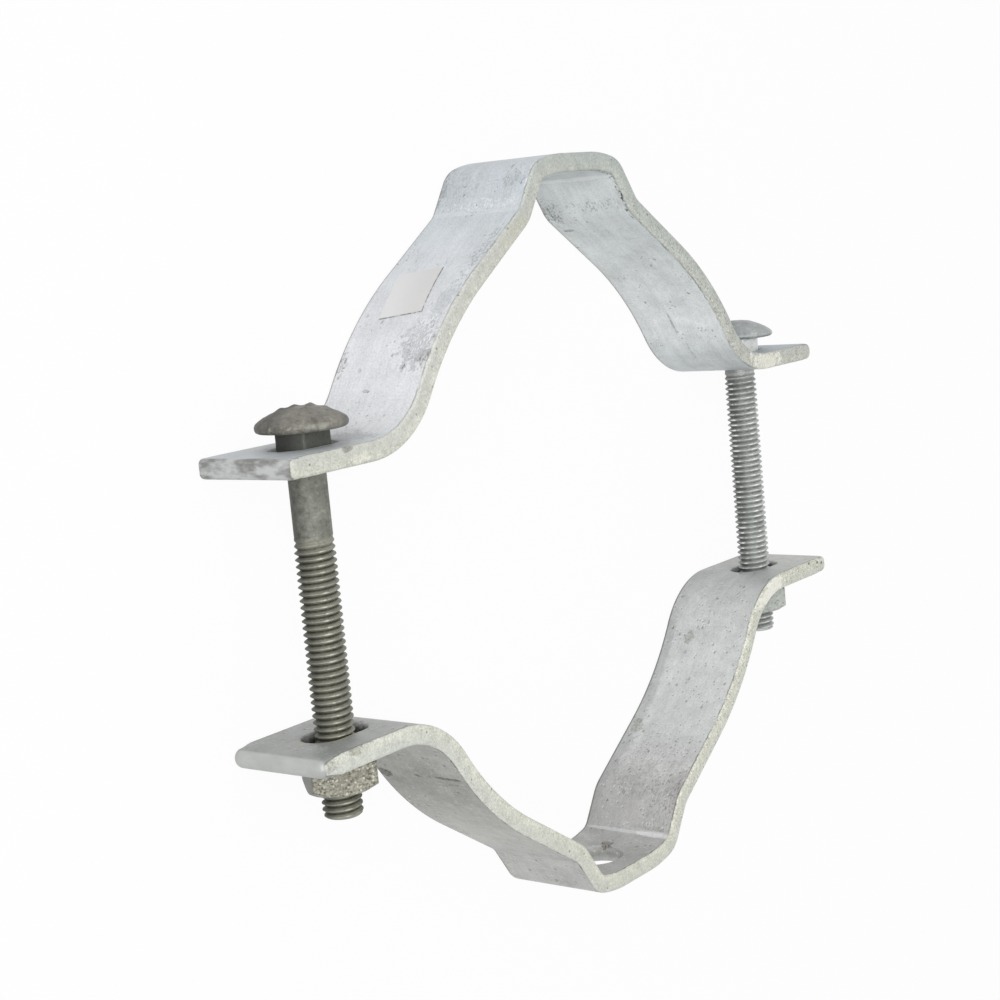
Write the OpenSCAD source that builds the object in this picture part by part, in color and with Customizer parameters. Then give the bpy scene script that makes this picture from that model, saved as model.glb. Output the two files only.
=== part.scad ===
// Post clamp: two bent flat-bar straps drawn together round a post by two cup-head bolts and square nuts.
// Millimetres. Z runs along the post, X from bolt to bolt, Y along the bolts.
// The origin is on the post's axis, in the plane of the straps' lower edges.

/* [Flat bar] */
// Width of the flat bar, along the post
bar_w = 38.1; // [30:0.1:60]
// Thickness of the flat bar
bar_t = 6.35; // [4:0.05:8]
// Rounding of the sheared ends of the bar
end_round = 1.8; // [0.4:0.1:1.9]

/* [Post seat] */
// Diameter of the post that the straps seat on
post_d = 213; // [190:0.5:260]

/* [Crown] */
// Width of the flat on the crown
crown_flat = 16; // [12:0.5:20]
// Height of the crown's inner face above the post
crown_rise = 16.6; // [12:0.1:24]
// Inside radius of the shoulders beside the flat
shoulder_r = 45; // [30:1:60]
// Fall of the shoulders at their ends, in degrees
shoulder_fall = 15; // [8:0.5:20]
// Inside radius of the crown's corners
crown_bend_r = 5; // [3:0.1:9]
// Fall of the crown's walls, in degrees
wall_fall = 56.4; // [50:0.1:65]
// Inside radius of the reverse bends at the crown's feet
foot_bend_r = 8; // [4:0.1:12]
// Gap between the post and the bar at the crown's feet
foot_gap = 3.9; // [2.5:0.1:6]
// Diameter of the hole through the crown
crown_hole_d = 20.6; // [8:0.1:23]

/* [Ears] */
// Gap between the ears of the two straps
ear_gap = 82.5; // [70:0.5:100]
// Distance from the bolt's axis to the end of the ear
ear_end = 26.5; // [20:0.5:40]
// Length of the slot for the bolt, end to end
slot_l = 24; // [16:0.5:28]

/* [Bolts] */
// Diameter over the bolt's thread
bolt_d = 12.7; // [10:0.1:14]
// Length of the bolt past its nut
tip_past_nut = 8.5; // [3:0.5:40]
// Gap between the post and each bolt
bolt_clear = 16.5; // [15:0.5:30]
// Difference between the thread's diameter and the plain shank's
shank_under = 0.8; // [0.2:0.1:2]
// Diameter of the cup head
head_d = 28.6; // [24:0.1:34]
// Height of the cup head's dome
head_dome = 5.6; // [3:0.1:8]
// Thickness of the cup head's rim
head_rim = 1.5; // [0.5:0.1:3]
// Width of the square neck
neck_w = 12.4; // [12:0.1:14]
// Length of the square neck
neck_l = 9; // [7:0.1:12]
// Length of the chamfer on the bolt's tip
tip_chamfer = 1; // [0.2:0.1:2]
// Height of the left bolt's head above its ear
left_proud = 5; // [0:0.1:6]
// Height of the right bolt's head above its ear
right_proud = 5.5; // [0:0.1:6]
// Distance from the left bolt's head to the start of its thread
left_thread_start = 34; // [13:0.5:60]
// Distance from the right bolt's head to the start of its thread
right_thread_start = 15; // [13:0.5:60]

/* [Nuts] */
// Width of the square nut across its flats
nut_flats = 20.6; // [19:0.1:24]
// Thickness of the nut
nut_t = 11.6; // [8:0.1:13]
// Diameter of the nut's round bearing face
nut_bearing_d = 19.8; // [17:0.1:20.6]
// Angle of the chamfer on the nut's corners
nut_chamfer_angle = 30; // [15:1:40]
// Turn of the left nut on its bolt
left_nut_turn = 53; // [0:1:90]
// Turn of the right nut on its bolt
right_nut_turn = 40; // [0:1:90]

/* [Clearances] */
// Clearance of the bolt in the ear's slot, each side
slot_clear = 0.45; // [0.3:0.05:0.9]
// Clearance of the bolt in the nut, each side
thread_clear = 0.05; // [0.02:0.01:0.1]
// Clearance from the nut's bearing face to the ear's bend
bend_clear = 0.3; // [0.2:0.05:2]

/* [Hidden] */
$fn = 180;
cut_over = 1;
bend_step = 3;
tip_step = 15;
seat_allowance = 0.2;

strap_zinc = [0.74, 0.76, 0.76];
left_bolt_zinc = [0.46, 0.46, 0.42];
right_bolt_zinc = [0.64, 0.65, 0.64];
nut_zinc = [0.66, 0.67, 0.63];

// Radii are to the bar's mid-line, and angles are the mid-line's fall from the crown's flat.
post_r = post_d / 2;
seat_r = post_r + bar_t / 2;
shoulder_mid_r = shoulder_r + bar_t / 2;
crown_r = crown_bend_r + bar_t / 2;
foot_r = foot_bend_r + bar_t / 2;
crown_y = post_r + crown_rise + bar_t / 2;
ear_y = ear_gap / 2 + bar_t / 2;

bolt_x = post_r + bolt_clear + bolt_d / 2;
slot_w = max(neck_w, bolt_d) + 2 * slot_clear;
shank_d = bolt_d - shank_under;
nut_bearing_r = nut_bearing_d / 2;
ears_t = 2 * bar_t + ear_gap;
ear_x = bolt_x - nut_bearing_r - bend_clear;
ear_tip_x = bolt_x + ear_end;

// Unit vector square to a mid-line that falls by angle a
function across(a) = [sin(a), cos(a)];

// Unit vector along a mid-line that falls by angle a
function along(a) = [cos(a), -sin(a)];

// The wall runs down from the crown's corner until the foot's bend clears the post by its gap.
shoulder_centre = [crown_flat / 2, crown_y - shoulder_mid_r];
crown_centre = shoulder_centre + (shoulder_mid_r - crown_r) * across(shoulder_fall);
foot_reach = seat_r + foot_r + foot_gap;
foot_top = crown_centre + (crown_r + foot_r) * across(wall_fall);
foot_depth = -foot_top * along(wall_fall);
wall_l = foot_depth - sqrt(pow(foot_depth, 2) - foot_top * foot_top + pow(foot_reach, 2));
foot_centre = foot_top + wall_l * along(wall_fall);

// The run from the foot to the seat is the line that touches both circles from opposite sides.
seat_start = atan2(foot_centre[0], foot_centre[1]) + acos((seat_r + foot_r) / foot_reach);

// The ear's bend touches the seat's circle from outside and ends level with the ear.
ear_r = (pow(ear_x, 2) + pow(ear_y, 2) - pow(seat_r, 2)) / (2 * (seat_r - ear_y));
ear_centre = [ear_x, ear_y + ear_r];
seat_end = atan2(ear_centre[0], ear_centre[1]);

// Points along a bend about a centre, from one direction to another, in degrees from +X
function bend(centre, radius, from, to, step = bend_step) =
    let (steps = ceil(abs(to - from) / step), turn = (to - from) / steps)
    [for (i = [0:steps]) centre + radius * [cos(from + turn * i), sin(from + turn * i)]];

function but_first(points) = [for (i = [1:len(points) - 1]) points[i]];
function reversed(points) = [for (i = [len(points) - 1:-1:0]) points[i]];
function mirrored(points) = [for (p = points) [-p[0], p[1]]];

// One face of the bar, from the crown's flat to the ear
// side is 1 for the outer face and -1 for the face towards the post
function face(side, seat_face_r) =
    let (skin = side * bar_t / 2)
    concat(
        bend(shoulder_centre, shoulder_mid_r + skin, 90, 90 - shoulder_fall),
        but_first(bend(crown_centre, crown_r + skin, 90 - shoulder_fall, 90 - wall_fall)),
        bend(foot_centre, foot_r - skin, 270 - wall_fall, 270 - seat_start),
        bend([0, 0], seat_face_r, 90 - seat_start, 90 - seat_end),
        but_first(bend(ear_centre, ear_r - skin, 270 - seat_end, 270))
    );

// The sheared end of the ear, with its two corners rounded
function ear_tip() =
    let (x = ear_tip_x - end_round, reach = bar_t / 2 - end_round)
    concat(
        bend([x, ear_y + reach], end_round, 90, 0, tip_step),
        bend([x, ear_y - reach], end_round, 0, -90, tip_step)
    );

half_outline = concat(
    face(1, post_r + bar_t),
    ear_tip(),
    reversed(face(-1, post_r - seat_allowance))
);

// The slot through an ear, along the bar
module ear_slot() {
    translate([bolt_x, ear_y, bar_w / 2])
        rotate([90, 0, 0])
            linear_extrude(bar_t + 2 * cut_over, center = true) {
                for (side = [-1, 1])
                    translate([side * (slot_l - slot_w) / 2, 0])
                        circle(d = slot_w);
                square([slot_l - slot_w, slot_w], center = true);
            }
}

// One strap, with its crown towards +Y: the bent bar, its seat trued to the post, its slots and its crown hole
module strap() {
    difference() {
        linear_extrude(bar_w)
            polygon(concat(half_outline, mirrored(reversed(half_outline))));
        translate([0, 0, -cut_over])
            cylinder(d = post_d, h = bar_w + 2 * cut_over);
        ear_slot();
        mirror([1, 0, 0])
            ear_slot();
        translate([0, crown_y, bar_w / 2])
            rotate([90, 0, 0])
                cylinder(d = crown_hole_d, h = bar_t + 2 * cut_over, center = true);
    }
}

// A cup-head bolt hanging from its head's underside at the origin, towards -Z
module cup_bolt(proud, thread_start) {
    bolt_l = proud + ears_t + nut_t + tip_past_nut;
    dome_r = (pow(head_d / 2, 2) + pow(head_dome, 2)) / (2 * head_dome);
    rotate_extrude()
        intersection() {
            translate([0, head_rim + head_dome - dome_r])
                circle(dome_r);
            square([head_d / 2, head_rim + head_dome]);
        }
    translate([-neck_w / 2, -neck_w / 2, -neck_l])
        cube([neck_w, neck_w, neck_l]);
    translate([0, 0, -thread_start])
        cylinder(d = shank_d, h = thread_start - neck_l);
    translate([0, 0, tip_chamfer - bolt_l])
        cylinder(d = bolt_d, h = bolt_l - thread_start - tip_chamfer);
    translate([0, 0, -bolt_l])
        cylinder(d1 = bolt_d - 2 * tip_chamfer, d2 = bolt_d, h = tip_chamfer);
}

// A square nut below the origin, its bearing face up, corners chamfered on both faces
module square_nut() {
    corner_r = nut_flats / sqrt(2);
    corner_drop = (corner_r - nut_bearing_r) * tan(nut_chamfer_angle);
    difference() {
        intersection() {
            translate([-nut_flats / 2, -nut_flats / 2, -nut_t])
                cube([nut_flats, nut_flats, nut_t]);
            rotate_extrude()
                polygon([[0, 0], [nut_bearing_r, 0], [corner_r, -corner_drop],
                         [corner_r, corner_drop - nut_t], [nut_bearing_r, -nut_t], [0, -nut_t]]);
        }
        translate([0, 0, -nut_t - cut_over])
            cylinder(d = bolt_d + 2 * thread_clear, h = nut_t + 2 * cut_over);
    }
}

// Turn a part that hangs along -Z so that it lies along the bolt's axis on one side of the clamp
module on_bolt(side, y) {
    translate([side * bolt_x, y, bar_w / 2])
        rotate([-90, 0, 0])
            children();
}

module upper_strap() {
    color(strap_zinc)
        strap();
}

module lower_strap() {
    color(strap_zinc)
        rotate(180)
            strap();
}

module left_bolt() {
    color(left_bolt_zinc)
        on_bolt(-1, ear_y + bar_t / 2 + left_proud)
            cup_bolt(left_proud, left_thread_start);
}

module right_bolt() {
    color(right_bolt_zinc)
        on_bolt(1, ear_y + bar_t / 2 + right_proud)
            cup_bolt(right_proud, right_thread_start);
}

module left_nut() {
    color(nut_zinc)
        on_bolt(-1, -ear_y - bar_t / 2)
            rotate(left_nut_turn)
                square_nut();
}

module right_nut() {
    color(nut_zinc)
        on_bolt(1, -ear_y - bar_t / 2)
            rotate(right_nut_turn)
                square_nut();
}

upper_strap();
lower_strap();
left_bolt();
right_bolt();
left_nut();
right_nut();
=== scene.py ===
# %% [markdown]
# # A post clamp in galvanised flat bar
# Two bent straps close round a post, and two cup-head bolts with square nuts draw their ears together. The
# CAD model gives the solids, the sizes and the bodies that move. This lesson dresses them: each solid gets
# a finer surface, worked out with numpy, and a finish made of shader nodes.

# %% Load the frame
import bmesh
import bpy
import numpy as np
from mathutils import Matrix


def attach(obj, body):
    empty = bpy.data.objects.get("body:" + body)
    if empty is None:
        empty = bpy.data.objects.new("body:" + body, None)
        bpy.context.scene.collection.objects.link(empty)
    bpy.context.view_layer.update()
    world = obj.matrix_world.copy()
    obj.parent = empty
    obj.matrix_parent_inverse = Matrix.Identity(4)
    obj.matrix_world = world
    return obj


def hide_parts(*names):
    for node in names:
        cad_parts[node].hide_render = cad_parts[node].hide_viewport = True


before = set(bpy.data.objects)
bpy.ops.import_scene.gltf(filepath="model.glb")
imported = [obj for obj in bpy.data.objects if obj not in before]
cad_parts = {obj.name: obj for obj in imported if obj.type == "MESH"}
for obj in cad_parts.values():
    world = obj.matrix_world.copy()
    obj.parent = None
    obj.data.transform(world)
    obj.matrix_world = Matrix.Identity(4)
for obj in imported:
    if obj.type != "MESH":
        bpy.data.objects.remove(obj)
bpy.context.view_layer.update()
scene = bpy.context.scene

# %% [markdown]
# ## The camera
# The clamp lies on the edges of its straps, and the picture looks down on it from the left. A camera could
# be aimed with a constraint, but three directions are plainer: to the picture's right, down and forward.
# Blender's camera looks along its own -Z with +Y up, so the columns of its matrix are right, minus down and
# minus forward.

# %% Set up the camera
def unit(vector):
    """A vector, or each of an array of vectors, divided by its length."""
    return vector / np.linalg.norm(vector, axis=-1, keepdims=True)


def stand(holder, place, axes):
    """Put a camera or lamp at a place: the columns of its matrix are its own X, Y and Z and the place."""
    pose = np.eye(4)
    pose[:3] = np.stack([*axes, place], axis=1)
    holder.matrix_world = Matrix(pose.tolist())
    scene.collection.objects.link(holder)


eye = np.array([-0.545937, 0.108933, 0.41654])
forward = unit(np.array([0.78031, -0.14386, -0.60863]))
right = np.array([0.60175, -0.0924, 0.79332])
right = unit(right - forward * (right @ forward))
down = np.cross(forward, right)

view = bpy.data.cameras.new("picture_view")
view.sensor_width = 36
view.lens = 68.952
camera = bpy.data.objects.new("picture_view", view)
stand(camera, eye, [right, -down, -forward])
scene.camera = camera
print("camera at", eye, "looking along", forward.round(3))

# %% [markdown]
# ## The line that the bar is bent along
# A strap starts as a straight flat bar. A bending press gives it a shouldered crown with a wall on each
# side, a sharp foot, a straight run on to the post, a leg that lies on the post, and a flat ear. All that
# is one line whose fall angle is known at a few knots and changes evenly between them, so every stretch is
# straight or an arc. Drawing the line as a Bezier curve would be quicker, but its arcs would only be close.

# %% Work out the bend line, in millimetres
bar_w, bar_t = 38.1, 6.35
post_r = 106.5
crown_flat, crown_rise, foot_gap = 16.0, 16.6, 3.9
shoulder_r, crown_r, foot_r = np.array([45, 5, 8]) + bar_t / 2
shoulder_fall, wall_fall = np.radians([15, 56.4])
bolt_x, ear_x, ear_end, ear_gap = 129.35, 119.15, 26.5, 82.5


def across(fall):
    """Unit vector square to a line that falls by an angle."""
    return np.array([np.sin(fall), np.cos(fall)])


def along(fall):
    """Unit vector along a line that falls by an angle."""
    return np.array([np.cos(fall), -np.sin(fall)])


seat_r = post_r + bar_t / 2
crown_y = seat_r + crown_rise
ear_y = (ear_gap + bar_t) / 2
crown_centre = np.array([crown_flat / 2, crown_y - shoulder_r])
crown_centre += (shoulder_r - crown_r) * across(shoulder_fall)
foot_reach = seat_r + foot_r + foot_gap
foot_top = crown_centre + (crown_r + foot_r) * across(wall_fall)
foot_depth = -foot_top @ along(wall_fall)
wall_l = foot_depth - np.sqrt(foot_depth ** 2 - foot_top @ foot_top + foot_reach ** 2)
foot_centre = foot_top + wall_l * along(wall_fall)
run_l = np.sqrt(foot_reach ** 2 - (seat_r + foot_r) ** 2)
seat_start = np.arctan2(*foot_centre) + np.arccos((seat_r + foot_r) / foot_reach)
ear_r = (ear_x ** 2 + ear_y ** 2 - seat_r ** 2) / (2 * (seat_r - ear_y))
seat_end = np.arctan2(ear_x, ear_y + ear_r)

stretches = np.array([
    crown_flat / 2, shoulder_r * shoulder_fall, crown_r * (wall_fall - shoulder_fall), wall_l,
    foot_r * (wall_fall - seat_start), run_l, seat_r * (seat_end - seat_start), ear_r * seat_end,
    bolt_x + ear_end - ear_x])
knot_s = np.r_[0, np.cumsum(stretches)]
knot_fall = np.array([0, 0, shoulder_fall, wall_fall, wall_fall, seat_start, seat_start, seat_end, 0, 0])
turns = np.diff(knot_fall)
chords = stretches * np.sinc(turns / 2 / np.pi)
knot_x = np.r_[0, np.cumsum(chords * np.cos(knot_fall[:-1] + turns / 2))]
knot_y = crown_y - np.r_[0, np.cumsum(chords * np.sin(knot_fall[:-1] + turns / 2))]
half_l = knot_s[-1]


def bend_line(s):
    """Place and fall of the mid-line at distance s from the crown's middle.

    From the last knot the point moves by a chord: the run times sinc of half the turn, in the direction
    half-way through the turn. The turn is the run times the stretch's bend per millimetre. The left half
    mirrors the right.
    """
    run = np.abs(s)
    i = np.clip(np.searchsorted(knot_s, run, side="right") - 1, 0, len(stretches) - 1)
    run = run - knot_s[i]
    turn = run * (turns / stretches)[i]
    chord = run * np.sinc(turn / 2 / np.pi)
    x = knot_x[i] + chord * np.cos(knot_fall[i] + turn / 2)
    y = knot_y[i] - chord * np.sin(knot_fall[i] + turn / 2)
    side = np.sign(s)
    return side * x, y, side * (knot_fall[i] + turn)


def bend_bar(flat, lower):
    """Bend points of the flat bar to metres: the line's point plus n times its normal.

    S runs along the bar, w across it and n outwards. The lower strap is the upper one turned half a turn
    about the post's axis.
    """
    s, w, n = np.moveaxis(flat, -1, 0)
    x, y, fall = bend_line(s)
    side = -1 if lower else 1
    bent = [side * (x + n * np.sin(fall)), side * (y + n * np.cos(fall)), w + bar_w / 2]
    return np.stack(bent, axis=-1) / 1000


print("half the bar is", half_l.round(2), "mm, its end at", [float(v.round(2)) for v in bend_line(half_l)])

# %% [markdown]
# ## Sheets of points
# Every piece here is made of sheets: grids of points with a quad between each four neighbours. Sheets that
# share a border are welded by rounding their points and keeping one of each. A row that shrinks to a pole
# makes quads with a side of no length, and those lose a corner and become triangles. Blender then turns all
# faces outwards.

# %% Helpers that turn sheets into pieces
def sheet_quads(shape, wrap):
    """Corner numbers of the quads of a grid of points; wrap joins the last column to the first."""
    index = np.arange(shape[0] * shape[1]).reshape(shape)
    if wrap:
        index = np.concatenate([index, index[:, :1]], axis=1)
    return np.stack([index[:-1, :-1], index[1:, :-1], index[1:, 1:], index[:-1, 1:]], axis=-1)


def border_of(grid):
    """Points of a grid's border, once round."""
    return np.concatenate([grid[:-1, 0], grid[-1, :-1], grid[:0:-1, -1], grid[0, :0:-1]])


def listed(grids):
    """All points of some grids in one list."""
    return np.concatenate([points.reshape(-1, 3) for points in grids])


def weld(sheets):
    """Join sheets (points, quads): the points kept, the faces' corners and each face's first corner."""
    counts = np.cumsum([0] + [points[..., 0].size for points, _ in sheets])
    points = listed([points for points, _ in sheets])
    quads = np.concatenate([quads.reshape(-1, 4) + first for (_, quads), first in zip(sheets, counts)])
    used, quads = np.unique(quads, return_inverse=True)
    _, first, same = np.unique(points[used].round(4) + 0.0, axis=0, return_index=True, return_inverse=True)
    quads = same.reshape(-1)[quads.reshape(-1, 4)]
    corner = quads != np.roll(quads, 1, axis=1)
    corner &= corner.sum(axis=1, keepdims=True) > 2
    sizes = corner.sum(axis=1)
    sizes = sizes[sizes > 0]
    return used[first], quads[corner], np.cumsum(sizes) - sizes


def open_edges(corners, starts):
    """How many edges of the mesh don't have exactly two faces."""
    ends = np.r_[starts[1:], len(corners)]
    following = np.arange(len(corners)) + 1
    following[ends - 1] = starts
    edges = np.sort(np.stack([corners, corners[following]], axis=1), axis=1)
    return int((np.unique(edges, axis=0, return_counts=True)[1] != 2).sum())


def make_piece(name, points, corners, starts, mark_name, mark, sharp=None):
    """A mesh object from welded arrays, its faces outwards, with a vector attribute for its finish."""
    mesh = bpy.data.meshes.new(name)
    mesh.vertices.add(len(points))
    mesh.vertices.foreach_set("co", points.astype(np.float32).ravel())
    mesh.loops.add(len(corners))
    mesh.loops.foreach_set("vertex_index", corners.astype(np.int32))
    mesh.polygons.add(len(starts))
    mesh.polygons.foreach_set("loop_start", starts.astype(np.int32))
    mesh.update(calc_edges=True)
    mesh.validate()
    shell = bmesh.new()
    shell.from_mesh(mesh)
    bmesh.ops.recalc_face_normals(shell, faces=shell.faces[:])
    shell.to_mesh(mesh)
    shell.free()
    mesh.shade_smooth()
    if sharp:
        mesh.set_sharp_from_angle(angle=np.radians(sharp))
    layer = mesh.attributes.new(mark_name, "FLOAT_VECTOR", "POINT")
    layer.data.foreach_set("vector", mark.astype(np.float32).ravel())
    piece = bpy.data.objects.new(name, mesh)
    scene.collection.objects.link(piece)
    print(name, len(points), "points", len(starts), "faces", open_edges(corners, starts), "open edges")
    return piece


print("mesh helpers ready")

# %% [markdown]
# ## The flat bar
# Hot zinc leaves no sharp edge on a galvanised bar. The bar is a box whose edges are rounded by a rule: a
# point of the box keeps to a smaller inner box, and stands off it by one radius in its own direction. A
# Bevel modifier could do that too, but it would move the points, and the finish needs to know where each
# one was on the flat bar. Steps of equal angle in the rounded bands come from tangents.

# %% Lay out the nodes of the flat bar
edge_r, lip_r, widest = 1.0, 0.9, 3.1
fan = np.tan(np.radians([0, 15, 30, 45]))
toe_fan = np.tan(np.radians([0, 9, 18, 27, 36, 45]))
slot_s = knot_s[-2] + bolt_x - ear_x
crown_block, slot_block = 16.0, 17.0
hole_r, slot_r, slot_half = 10.3, 6.8, 5.2
blunt_l, blunt_run = 9, 6


def banded(half, radius, inner, fan):
    """Nodes from -half to half: the inner ones, and a fan of equal angles in the last radius at each end."""
    band = half - radius + radius * fan
    return np.concatenate([-band[::-1], inner, band])


leg_stops = [(crown_block, 20, 3), (20, 27, 14), (27, 37.5, 7), (37.5, 43, 11), (43, slot_s - slot_block, 60)]
leg = [np.linspace(near, far, count, endpoint=False) for near, far, count in leg_stops]
ear = np.linspace(slot_s - slot_block, slot_s + slot_block, 25)
toe = np.linspace(slot_s + slot_block, half_l - widest, 6)[1:-1]
one_side = np.concatenate([*leg, ear, toe])
crown = np.linspace(-crown_block, crown_block, 23)[1:-1]
s_nodes = banded(half_l, widest, np.concatenate([-one_side[::-1], crown, one_side]), toe_fan)
flat_w = bar_w / 2 - edge_r
w_nodes = banded(bar_w / 2, edge_r, np.linspace(-flat_w, flat_w, 27)[1:-1], fan)


def radii(s, ends):
    """Radii along, across and through the bar: the edge radius, growing smoothly to those of the nearer end.

    Ends holds, for the end at -s and the end at +s, the radius seen from the side and the radius seen from
    above.
    """
    t = np.clip((np.abs(s) - half_l + blunt_l) / blunt_run, 0, 1)
    t = t * t * (3 - 2 * t)
    side, plan = (np.where(s < 0, *pair) for pair in np.transpose(ends))
    return np.stack([side, edge_r + (plan - edge_r) * t, edge_r + (side - edge_r) * t], axis=-1)


def thick_nodes(s, ends):
    """Nodes through the thickness at each s: three even ones between two fans of that place's radius."""
    r = radii(s, ends)[:, 2:]
    band = bar_t / 2 - r + r * fan
    return np.concatenate([-band[:, ::-1], (bar_t / 2 - r) * np.array([-0.5, 0, 0.5]), band], axis=1)


def round_edges(flat, ends):
    """Core point plus radius times the unit direction from core to point, with a radius for each axis."""
    r = radii(flat[..., 0], ends)
    half = np.array([half_l, bar_w / 2, bar_t / 2])
    core = np.clip(flat, r - half, half - r)
    reach = (flat - core) / r
    return core + r * reach / np.linalg.norm(reach, axis=-1, keepdims=True)


print(len(s_nodes), "nodes along the bar,", len(w_nodes), "across")

# %% [markdown]
# ## Slots and holes
# The slots let the bolts slide to suit the post, and the crown's hole takes a pin or a screw. A Boolean
# would cut them but leave long thin faces round a rounded lip. Here the sheet round a hole is woven in: its
# outer border is the block of quads left out of the face, its rows close in on the hole, roll over the lip,
# run through the bar and come out on the other face.

# %% Weave the sheets of the flat bar
def hole_sheet(centre, block, straight, radius):
    """Sheet that lines a hole: two half circles with straight sides between, or a circle where straight is 0.

    Each border point takes the nearest point of the hole's spine and looks outwards from it. On a face a
    row is a mix of border and lip; over the lip the stand-off is r (1 - sin a) and the drop r (1 - cos a),
    a from 0 to 90 degrees.
    """
    near_s = s_nodes[np.abs(s_nodes - centre) < block + 1e-6]
    near_w = w_nodes[np.abs(w_nodes) < flat_w + 1e-6]
    border = border_of(np.stack(np.meshgrid(near_s, near_w, indexing="ij"), axis=-1))
    spine_s = centre + np.clip(border[:, 0] - centre, -straight, straight)
    spine = np.stack([spine_s, 0 * spine_s], axis=-1)
    look = unit(border - spine)
    mix = np.linspace(0, 1, 8)[:, None, None]
    face = border * (1 - mix) + (spine + (radius + lip_r) * look) * mix
    a = np.radians([18, 36, 54, 72, 90])[:, None, None]
    lip = spine + (radius + lip_r * (1 - np.sin(a))) * look
    wall = np.repeat(lip[-1:], 3, axis=0)
    drop = np.concatenate([np.zeros(len(mix)), lip_r * (1 - np.cos(a[:, 0, 0]))])
    inside = (bar_t / 2 - lip_r) * np.array([0.5, 0, -0.5])
    plan = np.concatenate([face, lip, wall, lip[::-1], face[::-1]])
    n = np.concatenate([bar_t / 2 - drop, inside, (drop - bar_t / 2)[::-1]])
    return np.concatenate([plan, np.broadcast_to(n[:, None, None], plan.shape[:2] + (1,))], axis=-1)


def flat_bar(ends):
    """All sheets of the bar: faces with blocks left out, edges, ends, and the linings of the holes."""
    s, w = np.meshgrid(s_nodes, w_nodes, indexing="ij")
    middle_s = (s_nodes[1:] + s_nodes[:-1]) / 2
    middle_w = (w_nodes[1:] + w_nodes[:-1]) / 2
    in_block = (np.abs(middle_s) < crown_block) | (np.abs(np.abs(middle_s) - slot_s) < slot_block)
    solid = ~(in_block[:, None] & (np.abs(middle_w) < flat_w)[None])
    through = thick_nodes(s_nodes, ends)
    sheets = []
    for side in (-1, 1):
        face = round_edges(np.stack([s, w, np.full_like(s, side * bar_t / 2)], axis=-1), ends)
        sheets.append((face, sheet_quads(s.shape, False)[solid]))
        edge_s = np.broadcast_to(s_nodes[:, None], through.shape)
        edge = np.stack([edge_s, np.full_like(through, side * bar_w / 2), through], axis=-1)
        sheets.append((round_edges(edge, ends), sheet_quads(through.shape, False)))
        end_w, end_n = np.meshgrid(w_nodes, through[0 if side < 0 else -1], indexing="ij")
        end = round_edges(np.stack([np.full_like(end_w, side * half_l), end_w, end_n], axis=-1), ends)
        sheets.append((end, sheet_quads(end_w.shape, False)))
    holes = [(0, crown_block, 0, hole_r)] + [(at, slot_block, slot_half, slot_r) for at in (slot_s, -slot_s)]
    for centre, block, straight, radius in holes:
        lining = hole_sheet(centre, block, straight, radius)
        sheets.append((lining, sheet_quads(lining.shape[:2], True)))
    kept, corners, starts = weld(sheets)
    return listed([points for points, _ in sheets])[kept], corners, starts


bars = {"upper": flat_bar([(1.8, 1.4), (2.8, 1.6)]), "lower": flat_bar([(2.6, 1.6), (3.1, 3.0)])}
print("flat bar from", bars["upper"][0].min(axis=0).round(2), "to", bars["upper"][0].max(axis=0).round(2))

# %% [markdown]
# ## Both straps
# The two straps are the same bar bent the same way; only the shears left their ends more or less blunt.
# Each vertex keeps its place on the flat bar in an attribute called bar, so that streaks, specks and stains
# can follow the bar round its bends.

# %% Bend the straps
pieces = {}
for which, (points, corners, starts) in bars.items():
    name = which + "_strap_skin"
    bent = bend_bar(points, which == "lower")
    pieces[name] = make_piece(name, bent, corners, starts, "bar", points)

# %% [markdown]
# ## Cup-head bolts
# A cup-head bolt has a low round head, a square neck that keeps it from turning in its slot, and a rolled
# thread. The whole bolt is one sheet: columns go round, rows go from the top of the head to the tip, and
# each row has a radius, a squareness and a share of thread. A Screw modifier would make a finer helix, but
# not the neck or the run-out of the thread.

# %% Lay out the rows of a bolt
head_r, neck_w, neck_l, neck_power = 14.3, 12.4, 9.0, 16.0
shank_r, thread_r, thread_depth, pitch = 5.95, 6.35, 1.25, 25.4 / 12
run_in, rows_per_turn, rim_h = 2.6, 12, -1.2


def rows(h, radius, power=2.0, cut=0.0):
    """Rows of a bolt: h below the head's underside, radius, power of squareness and share of thread."""
    return np.column_stack(np.broadcast_arrays(h, radius, power, cut))


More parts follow.
